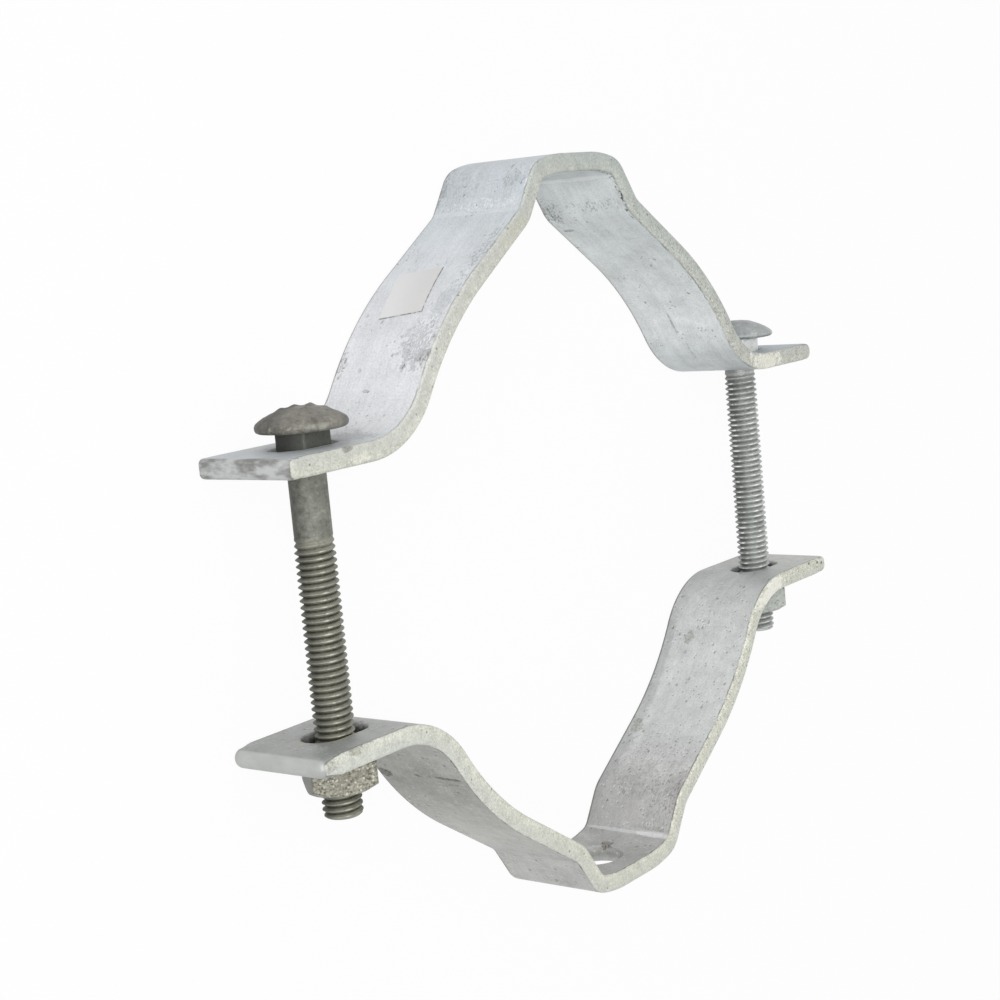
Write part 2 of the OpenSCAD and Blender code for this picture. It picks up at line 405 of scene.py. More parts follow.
def bolt_rows(thread_start, length, rim):
    """All rows of a bolt, from the top of its head to its tip.

    The head's profile is interpolated between a few points, and raised by rim times the square of its share
    of the radius. The thread deepens evenly over its first turns and fades at the tip.
    """
    profile = np.array([[-7.1, 0], [-7.05, 2.5], [-6.6, 5.5], [-5.2, 9], [-4, 11.4], [-2.9, 13], [-2.1, 13.9],
                        [rim_h, head_r]])
    profile[:, 0] -= rim * (profile[:, 1] / head_r) ** 2
    t = np.linspace(0, 1, 34)
    dome = [np.interp(t, np.linspace(0, 1, len(profile)), column) for column in profile.T]
    under = [[-1.0, -0.4, -0.08, 0, 0, 0], [14.25, 13.95, 13.4, 12.8, 11.3, 9.3]]
    head = rows(*np.concatenate([dome, under], axis=1))
    neck = rows(np.array([0, 0.3, 1.5, 3, 4.5, 6, 7.4]), neck_w / 2, neck_power)
    neck[0, 1] += 0.35
    ramp = np.linspace(0, 1, 5)
    foot_radius = neck_w / 2 + (shank_r - neck_w / 2) * ramp
    foot = rows(7.8 + 1.2 * ramp, foot_radius, neck_power * (1 - ramp) ** 2 + 2)
    plain = rows(np.linspace(neck_l + 0.6, thread_start - pitch, 8), shank_r)
    count = int((length - thread_start) / pitch * rows_per_turn)
    h = np.linspace(thread_start - pitch + 0.15, length - 0.9, count)
    deepen = np.clip((h - thread_start + pitch) / (run_in * pitch), 0, 1)
    fade = np.clip((length - 0.2 - h) / 1.2, 0.35, 1)
    tip = rows(length - np.array([0.5, 0.15, 0, 0, 0]), [shank_r, 5.5, 5.25, 2.5, 0])
    return np.concatenate([head, neck, foot, plain, rows(h, shank_r, cut=deepen * fade), tip])


print("thread pitch", round(pitch, 3), "mm")

# %% [markdown]
# ## The bolts' threads and necks
# A thread is a ridge that climbs one pitch each turn. It could be swept along a helix and joined to the
# shank by a Boolean, but that leaves slivers where the thread runs out. Here the thread and the square neck
# only move the sheet's points in or out, so they fade into the round shank.

# %% Cut the threads and make the bolts
root_flat, flank, plain_ridge = 0.08, 0.8, 0.55
# The side of each bolt at 233 degrees is painted in shade by its finish.
tip_y, shaded_turn = -67.7, np.radians(233)


def round_angles(count):
    """Equal steps of angle once round."""
    return np.arange(count) / count * 2 * np.pi


def square_reach(angle, power):
    """Radius of a rounded square of half-width 1: (|cos|^p + |sin|^p)^(-1/p), which is a circle at p = 2."""
    return (np.abs(np.cos(angle)) ** power + np.abs(np.sin(angle)) ** power) ** (-1 / power)


def bolt_sheet(thread_start, length, rim, lumps):
    """Points (radial x, radial z, h) of a bolt and its finish attribute (shade, h, crest).

    A thread has straight flanks: with p the fraction of h / pitch - turn, the crest is |2p - 1|, cut flat
    at its ridge and root, and the radius is the outer one minus depth times (1 - crest), so the ridge
    climbs one pitch each turn. Shade is the cosine of the angle from the side that the finish paints in
    shade. Lumps (x, z, height, width) are bells on the head's top.
    """
    angle = round_angles(84)
    h, radius, power, cut = (column[:, None] for column in bolt_rows(thread_start, length, rim).T)
    ridge = np.abs(2 * ((h / pitch - angle / (2 * np.pi)) % 1) - 1)
    crest = np.clip((ridge - root_flat) / flank, 0, 1)
    threaded = thread_r - thread_depth * (1 - crest)
    radius = radius * square_reach(angle, power) * (1 - cut) + threaded * cut
    x, z = radius * np.cos(angle), radius * np.sin(angle)
    h = np.broadcast_to(h, x.shape)
    lump_x, lump_z, height, width = np.array(lumps, float).reshape(-1, 4).T
    bell = np.exp(-((x[..., None] - lump_x) ** 2 + (z[..., None] - lump_z) ** 2) / width ** 2) * height
    h = h - np.where(h < rim_h, bell.sum(axis=-1), 0)
    shade = np.broadcast_to(np.cos(angle - shaded_turn), x.shape)
    mark = np.stack([shade, h, crest * cut + plain_ridge * (1 - cut)], axis=-1)
    return np.stack([x, z, h], axis=-1), mark


def ring_piece(name, side, top_y, sheet, mark_name, sharp):
    """Piece from a sheet of points (radial x, radial z, drop) and marks, on a bolt's axis below top_y."""
    local, mark = sheet
    x, z, drop = np.moveaxis(local, -1, 0)
    placed = np.stack([side * bolt_x + x, top_y - drop, bar_w / 2 + z], axis=-1)
    kept, corners, starts = weld([(placed, sheet_quads(x.shape, True))])
    points = listed([placed])[kept] / 1000
    pieces[name] = make_piece(name, points, corners, starts, mark_name, listed([mark])[kept], sharp)


head_lumps = [(-5.5, 2, 0.6, 1.3), (-1.5, -1, 0.6, 1.4), (1.2, 2.5, 0.65, 1.3), (4.8, 0, 0.8, 1.2),
              (-7.5, -2.5, 0.45, 1.3), (2.5, -4.5, 0.6, 1.3), (-3, 5, 0.6, 1.3), (6, 5, 0.5, 1.3),
              (-4, -4.5, 0.5, 1.2)]
for name, side, head_y, thread_start, rim, lumps in (("left_bolt_skin", -1, 52.6, 34, 0.7, head_lumps),
                                                     ("right_bolt_skin", 1, 53.1, 15, 0.0, [])):
    ring_piece(name, side, head_y, bolt_sheet(thread_start, head_y - tip_y, rim, lumps), "bolt", sharp=50)

# %% [markdown]
# ## Square nuts
# The nuts are cut from square bar and chamfered by a cone, so each flat ends in a curve at both faces.
# Columns go round, and the rows go all the way round the nut's section: up the bore, over the bearing face,
# out along the cone, down the flat and back. The section closes on itself, so the sheet is a ring with no
# poles.

# %% Shape the nuts
nut_half, nut_t, nut_power, bearing_r, cone = 10.3, 11.6, 26, 9.9, np.tan(np.radians(30))
nut_y = -47.6


def nut_sheet(turn):
    """Points (radial x, radial z, drop) of a nut and its finish attribute (facet turn, drop, radius).

    The outer radius is that of a rounded square. On the cone a row is a mix of bearing radius and outer
    radius, and its drop is the radius gained times the tangent of the cone's angle.
    """
    angle = round_angles(192)
    outer = nut_half * square_reach(angle + turn, nut_power)
    slope_r = bearing_r + (outer - bearing_r) * np.array([0, 0.08, 0.3, 0.6, 0.86, 0.97])[:, None]
    slope_h = (slope_r - bearing_r) * cone
    edge_h = (outer - bearing_r) * cone
    flat_h = edge_h + (nut_t - 2 * edge_h) * np.array([0.02, 0.1, 0.3, 0.5])[:, None]
    flat_r = np.broadcast_to(outer, flat_h.shape)
    face_r = np.array([6.5, 6.95, 7.1, 8.5, 9.7])[:, None] + 0 * outer
    face_h = np.array([0.5, 0.1, 0, 0, 0])[:, None] + 0 * outer
    half_r = np.concatenate([face_r, slope_r, flat_r])
    half_h = np.concatenate([face_h, slope_h, flat_h])
    radius = np.concatenate([half_r, half_r[-2::-1], half_r[:1]])
    drop = np.concatenate([half_h, nut_t - half_h[-2::-1], half_h[:1]])
    x, z = radius * np.cos(angle), radius * np.sin(angle)
    facet = np.broadcast_to((angle + turn) * 2 / np.pi, x.shape)
    return np.stack([x, z, drop], axis=-1), np.stack([facet, drop, radius], axis=-1)


for name, side, turn in (("left_nut_skin", -1, 53), ("right_nut_skin", 1, 40)):
    ring_piece(name, side, nut_y, nut_sheet(np.radians(turn)), "nut", sharp=28)

# %% [markdown]
# ## The sticker
# A small blank paper sticker lies on the left leg of the upper strap. It is a thin flat pad, laid out on
# the flat bar a little askew and bent with it, so that it lies on the steel from every side.

# %% Lay the sticker on the upper strap
paper_l, paper_w, paper_t, paper_lift = 20.9, 16.9, 0.16, 0.01
paper_s, paper_side, lean = -82.3, -2.5, np.radians(-8.2)
long_u = paper_l / 2 * np.linspace(-1, 1, 29)
wide_v = paper_w / 2 * np.linspace(-1, 1, 23)
flat_u, flat_v = np.meshgrid(long_u, wide_v, indexing="ij")
plan = np.stack([flat_u, flat_v, 0 * flat_u], axis=-1)
top = np.stack([paper_s + flat_u * np.cos(lean) - flat_v * np.sin(lean),
                paper_side + flat_u * np.sin(lean) + flat_v * np.cos(lean),
                np.full_like(flat_u, bar_t / 2 + paper_t)], axis=-1)
under = top - [0, 0, paper_t - paper_lift]
rim = np.stack([border_of(top), border_of(under)])
quads = sheet_quads(flat_u.shape, False)
kept, corners, starts = weld([(top, quads), (under, quads), (rim, sheet_quads(rim.shape[:2], True))])
points = listed([top, under, rim])[kept]
plans = listed([plan, plan, border_of(plan), border_of(plan)])[kept]
pieces["sticker"] = make_piece("sticker", bend_bar(points, False), corners, starts, "paper", plans, sharp=40)

# %% [markdown]
# ## Shader helpers
# A finish is a tree of nodes. These helpers add one node each, or a few, and return an output, so that a
# finish reads like a sum. Colours are written as they look on screen, 0 to 255, and turned into the linear
# values that shaders use.

# %% Helpers for colours and sums
def paint(red, green, blue):
    """Linear RGBA of a screen colour: ((c + 0.055) / 1.055) ^ 2.4."""
    return tuple(((c / 255 + 0.055) / 1.055) ** 2.4 for c in (red, green, blue)) + (1.0,)


def add(tree, kind, sockets, output=0, **settings):
    """One shader node: settings are its properties, sockets its inputs by number or name, linked or set."""
    made = tree.nodes.new("ShaderNode" + kind)
    for key, value in settings.items():
        setattr(made, key, value)
    for key, value in sockets.items():
        if isinstance(value, bpy.types.NodeSocket):
            tree.links.new(value, made.inputs[key])
        else:
            made.inputs[key].default_value = value
    return made.outputs[output] if made.outputs else made


def calc(tree, operation, a, b=0.0, c=0.0):
    """One step of arithmetic."""
    return add(tree, "Math", {0: a, 1: b, 2: c}, operation=operation)


def times(tree, a, b):
    """a times b."""
    return calc(tree, "MULTIPLY", a, b)


def scaled(tree, a, b, c):
    """a times b, plus c."""
    return calc(tree, "MULTIPLY_ADD", a, b, c)


def swing(tree, noise):
    """Noise about 0 instead of about 0.5."""
    return calc(tree, "SUBTRACT", noise, 0.5)


def rise(tree, value, low, high):
    """Smooth step: 0 below low, 1 above high, 3t^2 - 2t^3 between; falls where low is the larger."""
    return add(tree, "MapRange", {0: value, 1: low, 2: high, 3: 0.0, 4: 1.0}, interpolation_type="SMOOTHSTEP")


def blend(tree, share, a, b):
    """Mix two colours by a share."""
    return add(tree, "Mix", {0: share, 6: a, 7: b}, output=2, data_type="RGBA")


def tint(tree, tone, share, strength, colour):
    """A tone with some of a colour over it: share times strength."""
    return blend(tree, times(tree, share, strength), tone, colour)


def dimmed(tree, tone, light):
    """A tone times a number."""
    return add(tree, "VectorMath", {0: tone, "Scale": light}, operation="SCALE")


print("white is", paint(255, 255, 255))

# %% [markdown]
# ## Patterns
# A pattern is a number that changes from place to place: noise for clouds, cells for specks, a distance for
# a patch, a ramp for a slow drift. A picture wrapped round the part could hold them too, but it would blur
# close by. These are sums on a place in millimetres, either the Object coordinates or the piece's own
# attribute.

# %% Helpers for patterns
ramp_l = 380


def stretched(tree, place, factors, shift=(0.0, 0.0, 0.0)):
    """Scale a place along each axis and shift it."""
    return add(tree, "VectorMath", {0: place, 1: factors, 2: shift}, operation="MULTIPLY_ADD")


def shifted(tree, place, shift):
    """Shift a place."""
    return stretched(tree, place, (1.0, 1.0, 1.0), shift)


def marked(tree, name):
    """A piece's own vector attribute: the vector, and its three numbers."""
    whole = add(tree, "Attribute", {}, output=1, attribute_name=name)
    return whole, add(tree, "SeparateXYZ", {0: whole}).node.outputs


def in_mm(tree):
    """Object coordinates in millimetres."""
    return stretched(tree, add(tree, "TexCoord", {}, output=3), (1000.0, 1000.0, 1000.0))


def cloud(tree, place, scale, detail=2.0, rough=0.5):
    """Noise about 0.5, one lump to 1 / scale millimetres."""
    return add(tree, "TexNoise", {"Vector": place, "Scale": scale, "Detail": detail, "Roughness": rough})


def specks(tree, place, scale, share, size):
    """Dots in some cells of a Voronoi pattern: near the cell's point, where its random number is low."""
    near = add(tree, "TexVoronoi", {"Vector": place, "Scale": scale})
    cell = add(tree, "TexVoronoi", {"Vector": place, "Scale": scale}, output=1)
    lucky = calc(tree, "LESS_THAN", add(tree, "SeparateColor", {0: cell}), share)
    return times(tree, rise(tree, near, size * 1.5, size * 0.6), lucky)


def spot(tree, place, centre, size, ragged):
    """Patch round a centre: 1 where the distance in units of size, roughened by noise, is below 1."""
    away = add(tree, "VectorMath", {0: place, 1: centre}, operation="SUBTRACT")
    away = add(tree, "VectorMath", {0: away, 1: size}, operation="DIVIDE")
    far = add(tree, "VectorMath", {0: away}, output=1, operation="LENGTH")
    rough = times(tree, swing(tree, cloud(tree, place, 0.5, 4.0, 0.65)), ragged * 2)
    return rise(tree, calc(tree, "ADD", far, rough), 1.1, 0.75)


def drift(tree, s, stops):
    """Colour that changes along the bar: a ramp with stops (s, colour), s = 0 in its middle."""
    ramp = tree.nodes.new("ShaderNodeValToRGB")
    tree.links.new(scaled(tree, s, 1 / ramp_l, 0.5), ramp.inputs[0])
    points = ramp.color_ramp.elements
    points[0].position, points[1].position = stops[0][0] / ramp_l + 0.5, stops[-1][0] / ramp_l + 0.5
    points[0].color, points[1].color = paint(*stops[0][1]), paint(*stops[-1][1])
    for place, colour in stops[1:-1]:
        points.new(place / ramp_l + 0.5).color = paint(*colour)
    return ramp.outputs[0]


print("ramps are", ramp_l, "mm long")

# %% [markdown]
# ## Surfaces
# Each finish ends in one surface: a tone, how metallic and how rough it is, and a bump. Real displacement
# would show at the outline, but the grain of zinc is too fine for that.

# %% Helpers for surfaces
def coat(tree, tone, metallic, rough, height, strength, depth):
    """Surface of a tone with a bump of a strength and a depth in metres."""
    bump = add(tree, "Bump", {"Strength": strength, "Distance": depth, "Height": height})
    sockets = {"Base Color": tone, "Metallic": metallic, "Roughness": rough, "Normal": bump}
    return add(tree, "BsdfPrincipled", sockets)


def finish_of(name, tree_of):
    """A new material whose surface is what tree_of builds in its node tree."""
    material = bpy.data.materials.new(name)
    material.use_nodes = True
    tree = material.node_tree
    tree.nodes.clear()
    add(tree, "OutputMaterial", {"Surface": tree_of(tree)})
    return material


def put_on(piece, body, node, finish):
    """Say which body the piece moves with, which CAD node it stands for, and its material."""
    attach(piece, body)
    if node:
        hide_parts(node)
    piece.data.materials.append(finish)
    print(piece.name, "rides on", body, "with the finish", finish.name)


print("surface helpers ready")

# %% [markdown]
# ## Galvanised straps
# Hot-dip zinc on rolled bar is pale and nearly matt. Its tone changes along the bar, stretch by stretch. It
# has soft clouds, fine streaks along the bar, dark pits where dross stuck, and a cream, sandy look on the
# sheared edges. All of it reads the bar attribute, so it runs round the bends with the steel.
# One function builds both straps, because they differ only in tones and marks.

# %% Lay pits and marks over a tone
pit_end = half_l - 5


def pitted_tone(tree, tone, bar, s, pitted):
    """Lay pits, dots with a painted highlight on one side of each rim, and painted glints over a tone, most
    where noise is high: tone, depth of pits.
    """
    sore = rise(tree, cloud(tree, bar, 0.07, 2.0), 0.62 - pitted, 0.72 - pitted)
    sore = times(tree, sore, rise(tree, calc(tree, "ABSOLUTE", s), pit_end, pit_end - 2))
    pits = times(tree, specks(tree, stretched(tree, bar, (0.8, 1.0, 1.0)), 0.38, 0.42, 0.17), sore)
    dots = times(tree, specks(tree, shifted(tree, bar, (5.0, 3.0, 0.0)), 0.62, 0.5, 0.17), sore)
    # The pale rings sit a little off the dots, a painted highlight on one side of each; the glints are
    # painted highlights too.
    lit_rims = times(tree, specks(tree, shifted(tree, bar, (5.3, 3.25, 0.0)), 0.62, 0.5, 0.26), sore)
    glints = specks(tree, shifted(tree, bar, (0.9, 0.4, 0.0)), 0.6, 0.25, 0.10)
    for kind, strength, colour in ((lit_rims, 0.45, (232, 234, 234)), (dots, 0.6, (100, 102, 102)),
                                   (pits, 0.5, (100, 101, 100)), (glints, 0.5, (238, 240, 240))):
        tone = tint(tree, tone, kind, strength, paint(*colour))
    return tone, calc(tree, "ADD", pits, dots)


def worn(tree, tone, bar, broken, marks):
    """Lay marks over a tone, each a spot that is partly broken up: strength (fill + (1 - fill) broken)."""
    for centre, size, ragged, fill, colour, strength in marks:
        share = scaled(tree, broken, strength * (1 - fill), strength * fill)
        share = times(tree, share, spot(tree, bar, centre, size, ragged))
        tone = blend(tree, share, tone, paint(*colour))
    return tone


print("pits end", round(pit_end, 1), "mm from the bar's middle")

# %% [markdown]
# The shears left the edges rough, and the zinc set on them like sand. The grains could be modelled, but
# they are finer than a millimetre, so colour and bump are enough.

# %% Colour the sandy edges
grain_l = 1.0


def sandy_edge(tree, bar, s, n, sandy, sandier, edge_light):
    """Tone of the sheared edges: cream mottled by sandy noise, with stains, sand, painted glints and dark
    specks.
    """
    within = rise(tree, n, 1.6, -2.4)
    coarse = rise(tree, times(tree, s, sandier), -10.0, 90.0)
    rough = blend(tree, rise(tree, sandy, 0.36, 0.66), paint(212, 212, 199), paint(238, 239, 230))
    stain = rise(tree, cloud(tree, bar, 1.9, 3.0, 0.7), 0.58, 0.74)
    rough = tint(tree, rough, stain, 0.5, paint(166, 165, 148))
    rough = dimmed(tree, rough, scaled(tree, cloud(tree, bar, 0.3, 3.0), 0.5, 0.75))
    rough = blend(tree, scaled(tree, within, -0.4, 0.4), rough, paint(206, 211, 208))
    sand = specks(tree, shifted(tree, bar, (0.0, 2.0, 0.7)), 1 / grain_l, 0.5, 0.34)
    rough = tint(tree, rough, sand, scaled(tree, coarse, 0.35, 0.2), paint(152, 149, 130))
    # Painted glints on the edges, most on their inner half.
    edge_glints = times(tree, specks(tree, bar, 1.1, 0.55, 0.32), scaled(tree, within, 0.45, 0.55))
    rough = tint(tree, rough, edge_glints, scaled(tree, coarse, 0.5, 0.5), paint(255, 255, 252))
    rough = tint(tree, rough, specks(tree, bar, 0.35, 0.3, 0.13), 0.7, paint(110, 104, 90))
    return add(tree, "VectorMath", {0: rough, 1: drift(tree, s, edge_light)}, operation="MULTIPLY")


print("grains of sand are", grain_l, "mm apart")

# %% [markdown]
# Now the whole strap: the drifting tone of its two faces, dimmed by clouds and streaks, then pits and
# marks, edges, dark borders and sheared ends. The bump is made of the same noises, so that what looks rough
# is rough.

# %% Build the strap finish
edge_w = 18.5


def strap_zinc(outer, inner, edge_light, marks, end_tone, smudge, pitted, floor_shade, sandier, dragged, calm):
    """Node tree of a strap: drifting tones, clouds, streaks, pits, own marks, sandy edges and sheared ends.

    Outer, inner and edge_light are ramps along the bar, for its two faces and its edges. Marks whose centre
    is past edge_w lie on the edges. End_tone and smudge are the colour of the sheared ends and of the smudges
    on them, pitted is how far pits spread, floor_shade how dark the painted shade is along the lowest edge,
    where the strap lies on the floor, and sandier the end (1 or -1) with the coarser sand. Dragged is the
    strength of the streaks across the bar, and calm takes the clouds off the outer face.
    """
    def build(tree):
        bar, (s, w, n) = marked(tree, "bar")
        outside = rise(tree, n, -2.4, 2.4)
        even = scaled(tree, outside, -calm, 1.0)
        soft = scaled(tree, swing(tree, cloud(tree, bar, 0.045, 3.0, 0.55)), even, 0.5)
        blotch = scaled(tree, swing(tree, cloud(tree, bar, 0.17, 5.0, 0.62)), even, 0.5)
        streak = cloud(tree, stretched(tree, bar, (0.07, 0.8, 0.8)), 1.0, 4.0, 0.6)
        grain = cloud(tree, bar, 1.3, 3.0, 0.6)
        drag = swing(tree, cloud(tree, stretched(tree, bar, (0.5, 0.08, 0.5)), 1.0, 4.0, 0.62))
        drag = times(tree, drag, scaled(tree, outside, 0.8, 0.2))
        light = scaled(tree, soft, 0.40, 0.12)
        for noise, share in ((drag, dragged), (blotch, 0.56), (streak, 0.24), (grain, 0.56)):
            light = scaled(tree, noise, share, light)
        tone = dimmed(tree, blend(tree, outside, drift(tree, s, inner), drift(tree, s, outer)), light)
        tone, pit_depth = pitted_tone(tree, tone, bar, s, pitted)
        broken = rise(tree, cloud(tree, stretched(tree, bar, (0.7, 1.25, 1.25)), 1.4, 3.0, 0.7), 0.48, 0.60)
        tone = worn(tree, tone, bar, broken, [mark for mark in marks if abs(mark[0][1]) < edge_w])

        side = scaled(tree, cloud(tree, bar, 0.5, 3.0), 0.9, calc(tree, "ABSOLUTE", w))
        edge = rise(tree, side, 18.65, 19.0)
        sandy = cloud(tree, bar, 1.5, 4.0, 0.75)
        rough = sandy_edge(tree, bar, s, n, sandy, sandier, edge_light)
        rough = worn(tree, rough, bar, broken, [mark for mark in marks if abs(mark[0][1]) > edge_w])
        tone = blend(tree, edge, tone, rough)

        border = times(tree, rise(tree, side, 18.2, 18.6), calc(tree, "SUBTRACT", 1.0, edge))
        border = times(tree, times(tree, border, rise(tree, blotch, 0.40, 0.62)), 0.8)
        # Painted shade along the lowest edge, where the strap lies on the floor, joins the dark borders.
        floor_band = times(tree, rise(tree, w, -17.6, -18.4), floor_shade)
        tone = blend(tree, calc(tree, "MAXIMUM", border, floor_band), tone, paint(102, 103, 99))
        darkening = rise(tree, cloud(tree, stretched(tree, bar, (1.0, 0.5, 1.3)), 0.28, 4.0, 0.55), 0.38, 0.68)
        sheared = tint(tree, end_tone, darkening, smudge, paint(118, 118, 114))
        end = rise(tree, calc(tree, "ABSOLUTE", s), half_l - 2.0, half_l - 1.2)
        tone = tint(tree, tone, end, rise(tree, side, 19.2, 18.9), sheared)

        height = scaled(tree, streak, 0.5, times(tree, grain, 0.8))
        height = scaled(tree, blotch, 1.6, height)
        height = scaled(tree, times(tree, sandy, edge), 2.2, height)
        height = scaled(tree, pit_depth, -2.5, height)
        matt = scaled(tree, grain, 0.22, scaled(tree, edge, 0.15, 0.36))
        return coat(tree, tone, 0.35, matt, height, 0.5, 0.0004)
    return build


print("edges start", edge_w, "mm from the bar's middle")

# %% [markdown]
# ## The straps' own marks
# Each strap has its own history: a scuff and a patch of dross on the upper one, a rusty stain beside the
# lower crown's hole, and dark crust along a border. Other marks are painted light and shade: a painted
# highlight along some sharp bends with a line of painted shade beside it, painted highlights on the edges
# near the bends, painted glints in the scuff and along a border, painted shade in the slots, in the crown's
# hole and along the edge that lies on the floor, and a painted shadow beside the left bolt. Painting them by
# hand would tie them to a picture file. Here each mark is a line of numbers: its centre and size on the flat
# bar (along, across, through), how ragged its outline is, how filled it is, its colour and its strength.

# %% Dress the straps
upper_outer = [
    (-187, (188, 192, 196)), (-150, (206, 209, 211)), (-120, (222, 223, 226)), (-100, (216, 217, 220)),
    (-60, (206, 210, 214)), (-45, (200, 206, 209)), (-28, (194, 200, 205)), (0, (198, 204, 209)),
    (60, (202, 206, 209)), (187, (174, 182, 188))]
upper_inner = [
    (-187, (198, 202, 202)), (0, (204, 208, 208)), (30, (210, 215, 216)), (75, (211, 216, 216)),
    (110, (221, 224, 225)), (130, (198, 203, 204)), (187, (186, 190, 190))]
lower_inner = [
    (-187, (198, 199, 196)), (-160, (190, 192, 190)), (-142, (184, 187, 186)), (-125, (202, 204, 203)),
    (-70, (208, 210, 209)), (-42, (186, 185, 184)), (0, (176, 176, 174)), (60, (190, 191, 189)),
    (140, (180, 182, 180)), (187, (157, 159, 157))]
lower_outer = [
    (-187, (176, 177, 174)), (0, (186, 189, 187)), (30, (182, 182, 180)), (60, (182, 182, 178)),
    (105, (164, 164, 159)), (130, (174, 175, 171)), (187, (172, 173, 170))]
upper_light = [
    (-187, (246, 246, 244)), (-110, (250, 250, 250)), (-55, (240, 240, 240)), (0, (222, 227, 230)),
    (60, (224, 228, 230)), (120, (228, 230, 230)), (187, (234, 234, 234))]
lower_light = [
    (-187, (248, 248, 244)), (-110, (255, 255, 251)), (0, (250, 250, 247)), (110, (254, 254, 252)),
    (187, (254, 255, 255))]
upper_marks = [
    ((-104, 12, 3.2), (9, 6.5, 2), 1.6, 0.5, (134, 139, 141), 0.75),
    ((-90, 14, 3.2), (12, 3.5, 2), 1.6, 0.4, (166, 171, 174), 0.6),
    # Painted glints in the scuff.
    ((-101, 12.5, 3.2), (9, 5, 2), 2.4, 0.0, (248, 250, 252), 0.75),
    ((-109, 16, 3.2), (3.5, 2.4, 2), 1.6, 0.1, (92, 95, 95), 0.7),
    ((-111, -17, 3.2), (5, 2.2, 2), 1.6, 0.2, (104, 106, 106), 0.7),
    ((-112, 9, 3.2), (1.0, 1.4, 2), 1.2, 0.3, (92, 95, 95), 0.75),
    ((-120.5, -2.5, 3.2), (0.9, 1.8, 2), 1.2, 0.3, (92, 95, 95), 0.75),
    ((-113, -8.5, 3.2), (1.3, 0.8, 2), 1.2, 0.3, (104, 107, 107), 0.7),
    ((-27, 11.5, 3.2), (3.5, 4, 2), 1.8, 0.2, (140, 143, 145), 0.6),
    ((-28, -17.5, 3.2), (7, 2, 2), 1.8, 0.2, (112, 114, 114), 0.6),
    ((-31, -11, 3.2), (9, 8, 2), 2.0, 0.15, (160, 163, 165), 0.5),
    # Painted highlight along the foot bend, with a line of painted shade beside it.
    ((-40, -2, 3.2), (1.7, 26, 1.5), 0.6, 0.6, (226, 229, 232), 0.45),
    ((-37.5, 1, 3.2), (3, 15, 2), 1.6, 0.0, (168, 175, 180), 0.6),
    ((-36.5, 3, 3.2), (2.6, 13, 2), 1.6, 0.0, (242, 245, 248), 0.6),
    # Painted glints along the border of the face.
    ((-22, 18, 3.2), (11, 0.7, 1.5), 1.2, 0.0, (255, 255, 250), 0.8),
    ((-62, 15.5, 3.2), (14, 3, 2), 1.8, 0.0, (118, 122, 124), 0.55),
    # Painted highlight along the inner corner of the crown.
    ((23.5, 2, -3.2), (2.0, 20, 1.5), 0.5, 0.7, (236, 240, 240), 0.65),
    ((19, 17.1, -3.2), (9, 0.9, 2), 1.8, 0.0, (50, 52, 50), 0.95),
    ((34, 17.6, -3.2), (9, 0.8, 2), 1.8, 0.0, (50, 52, 50), 0.95),
    ((37.7, -16, -3.2), (5, 5, 2), 2.0, 0.0, (96, 100, 100), 0.7),
    ((36.5, 6, -3.2), (2.4, 13, 2), 2.0, 0.0, (138, 142, 142), 0.6),
    ((48.2, -13.5, -3.2), (0.9, 2.4, 2), 1.0, 0.5, (92, 96, 96), 0.8),
    ((111, -2.7, -3.2), (8, 0.5, 2), 0.9, 0.2, (116, 120, 120), 0.65),
    ((125, -0.6, -3.2), (6, 0.45, 2), 0.9, 0.2, (124, 128, 128), 0.6),
    ((6, 17.9, -3.2), (14, 0.8, 2), 1.4, 0.3, (84, 86, 82), 0.85),
    ((-163, 19, 2.6), (2.2, 1.4, 1.4), 1.0, 0.6, (116, 112, 104), 0.8),
    # Painted highlight on the edge.
    ((-157, 19, -1), (4.5, 2, 1.5), 1.8, 0.3, (252, 250, 236), 0.7),
    ((-48, 19, 0), (9, 2, 2.4), 2.0, 0.2, (214, 210, 182), 0.5),
    ((150, 9, 3.2), (7, 3, 2), 1.2, 0.4, (88, 94, 96), 0.7),
    # Painted shadow on the ear beside the left bolt.
    ((-146, 4, 3.2), (6, 11, 2), 1.2, 0.5, (120, 122, 126), 0.5),
    # Painted highlight on the edge.
    ((150, 19, 0), (12, 2, 3.2), 1.4, 0.5, (255, 253, 240), 0.9),
    # Painted shade inside the two slots and the crown's hole.
    ((slot_s, 0, 0), (14.5, 8.4, 3.0), 0.4, 0.9, (72, 69, 60), 0.9),
    ((-slot_s, 0, 0), (14.5, 8.4, 3.0), 0.4, 0.9, (72, 69, 60), 0.9),
    ((0, 0, 0), (12.4, 12.4, 2.2), 0.3, 0.6, (150, 148, 140), 0.6)]
